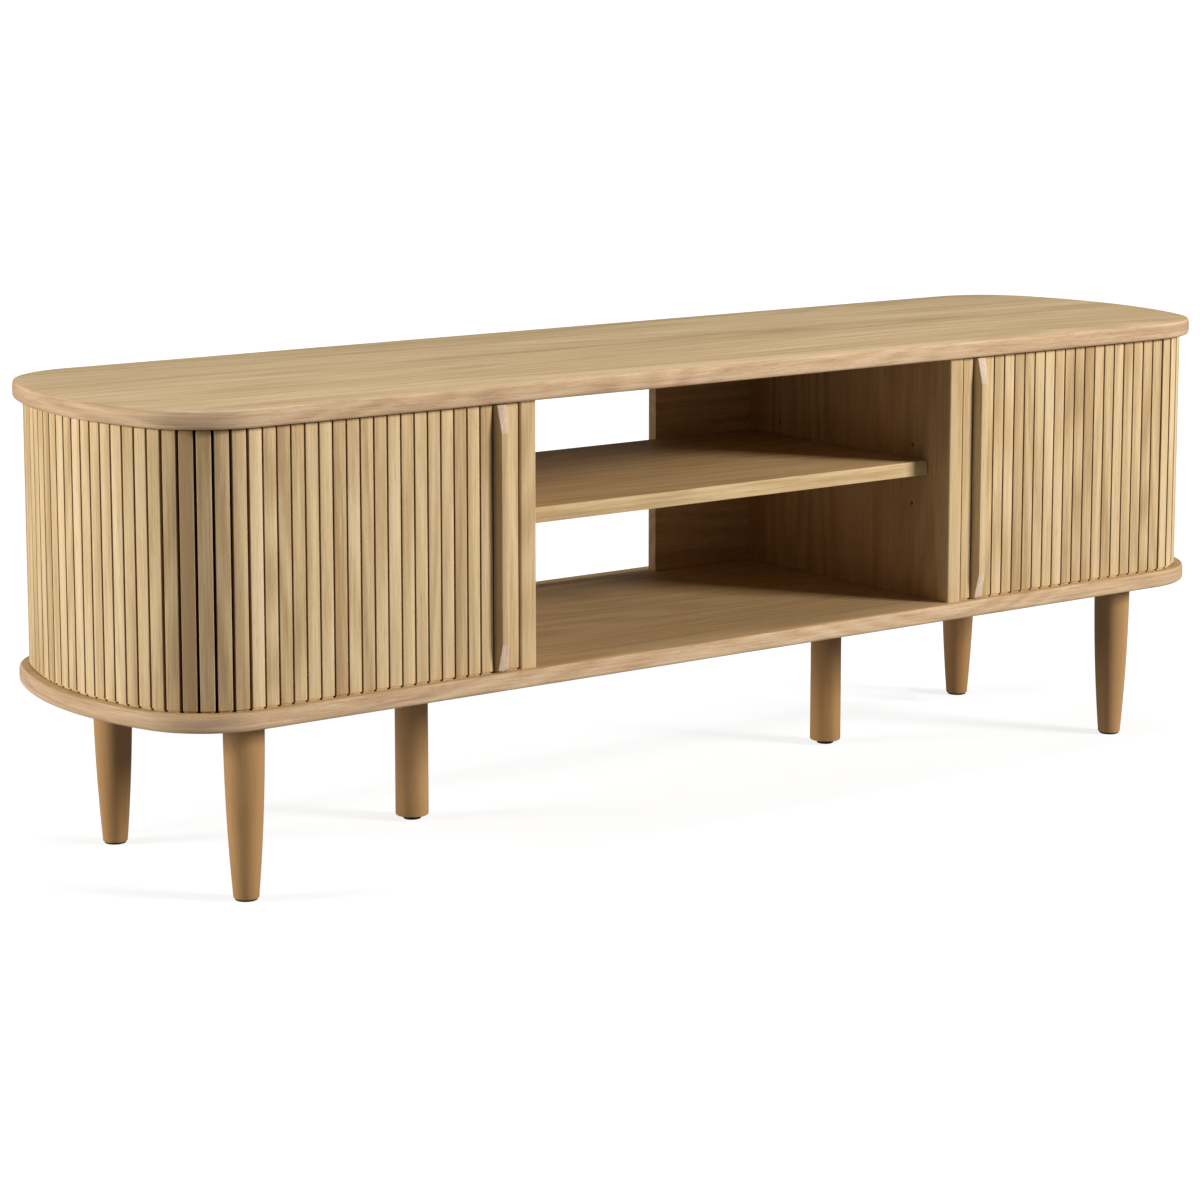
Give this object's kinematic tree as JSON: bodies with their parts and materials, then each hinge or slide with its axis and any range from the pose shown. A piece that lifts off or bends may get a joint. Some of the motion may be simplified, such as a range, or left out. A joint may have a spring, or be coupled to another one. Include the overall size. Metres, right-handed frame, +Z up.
{
  "type": "media cabinet",
  "caption": "Low oak media cabinet with rounded ends, slatted roll-front doors either side of an open shelf bay, on turned legs.",
  "frame": {"origin": "on the floor, below the middle of the cabinet", "axes": "+X along the length towards the right-hand door, +Y towards the wall, +Z up; the front faces -Y"},
  "size_m": [1.6, 0.432, 0.546],
  "materials": {
    "oak_veneer": "satin lacquered oak veneer",
    "oak_solid": "satin lacquered oak",
    "turned_wood": "satin stained hardwood",
    "dowel_wood": "bare beech",
    "black_plastic": "matt black nylon",
    "steel": "zinc plated",
    "canvas": "woven cotton backing"
  },
  "bodies": {
    "carcass": {"top_panel": "oak_veneer", "bottom_panel": "oak_veneer", "left_divider": "oak_veneer", "right_divider": "oak_veneer", "left_inner_side": "oak_veneer", "right_inner_side": "oak_veneer", "left_back_panel": "oak_veneer", "right_back_panel": "oak_veneer", "left_back_cover": "oak_veneer", "right_back_cover": "oak_veneer", "left_post": "oak_solid", "right_post": "oak_solid", "left_front_slats": "oak_solid", "left_end_slats": "oak_solid", "right_front_slats": "oak_solid", "right_end_slats": "oak_solid", "front_left_leg": "turned_wood", "back_left_leg": "turned_wood", "front_right_leg": "turned_wood", "back_right_leg": "turned_wood", "left_centre_leg": "turned_wood", "right_centre_leg": "turned_wood", "leg_pads": "black_plastic", "centre_shelf_pins": "steel", "left_shelf_pins": "steel", "right_shelf_pins": "steel", "leg_bolts": "steel", "leg_inserts": "steel", "cam_bolts": "steel", "cam_locks": "steel", "left_front_canvas": "canvas", "left_end_canvas": "canvas", "right_front_canvas": "canvas", "right_end_canvas": "canvas", "dowels": "dowel_wood"},
    "left_door": {"left_lead_slat": "oak_solid", "left_handle_slat": "oak_solid", "left_handle": "oak_solid", "left_handle_screws": "steel", "left_lead_canvas": "canvas"},
    "right_door": {"right_lead_slat": "oak_solid", "right_handle_slat": "oak_solid", "right_handle": "oak_solid", "right_handle_screws": "steel", "right_lead_canvas": "canvas"},
    "centre_shelf": {"centre_shelf": "oak_veneer"},
    "left_shelf": {"left_shelf": "oak_veneer"},
    "right_shelf": {"right_shelf": "oak_veneer"},
    "left_glide": {"left_glide": "black_plastic"},
    "right_glide": {"right_glide": "black_plastic"}
  },
  "joints": [
    {"name": "left_door_slide", "type": "slide", "parent": "carcass", "child": "left_door", "axis": [-1, 0, 0], "range_m": [0, 0.29444], "deforming": ["left_front_slats", "left_front_canvas"]},
    {"name": "right_door_slide", "type": "slide", "parent": "carcass", "child": "right_door", "axis": [1, 0, 0], "range_m": [0, 0.29444], "deforming": ["right_front_slats", "right_front_canvas"]},
    {"name": "centre_shelf_lift", "type": "slide", "parent": "carcass", "child": "centre_shelf", "axis": [0, 0, 1], "range_m": [0, 0.0365]},
    {"name": "left_shelf_lift", "type": "slide", "parent": "carcass", "child": "left_shelf", "axis": [0, 0, 1], "range_m": [0, 0.0365]},
    {"name": "right_shelf_lift", "type": "slide", "parent": "carcass", "child": "right_shelf", "axis": [0, 0, 1], "range_m": [0, 0.0365]},
    {"name": "left_glide_screw", "type": "slide", "parent": "carcass", "child": "left_glide", "axis": [0, 0, -1], "range_m": [0, 0.01]},
    {"name": "right_glide_screw", "type": "slide", "parent": "carcass", "child": "right_glide", "axis": [0, 0, -1], "range_m": [0, 0.01]}
  ]
}
